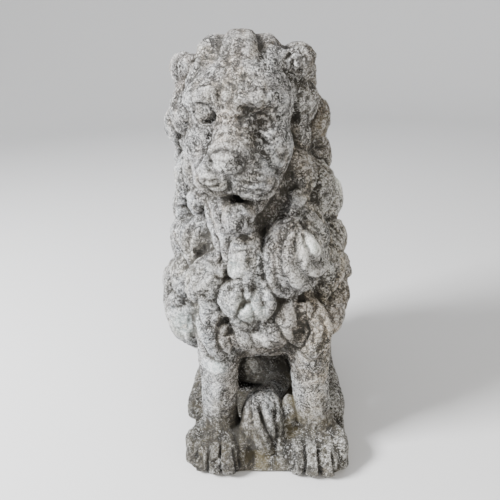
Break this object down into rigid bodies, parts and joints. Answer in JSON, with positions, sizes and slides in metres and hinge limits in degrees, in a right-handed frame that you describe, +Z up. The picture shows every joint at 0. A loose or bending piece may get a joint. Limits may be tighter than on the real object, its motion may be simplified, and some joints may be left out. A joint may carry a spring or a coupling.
{
  "type": "lion statue",
  "caption": "Seated lion with a thick mane of curled locks and its tail tuft between the fore paws, cast in stone in one piece with a low base that stands by its own weight.",
  "frame": {"origin": "middle of the flat underside of the low base, on the surface it stands on", "axes": "+Z up; the lion looks along -Y, its head turned slightly to its own right; its own left side is at +X"},
  "size_m": [0.2861, 0.3503, 0.5888],
  "materials": {
    "cast_stone": "weathered, matt and pitted"
  },
  "bodies": {
    "root": {"lion": "cast_stone"}
  },
  "joints": []
}
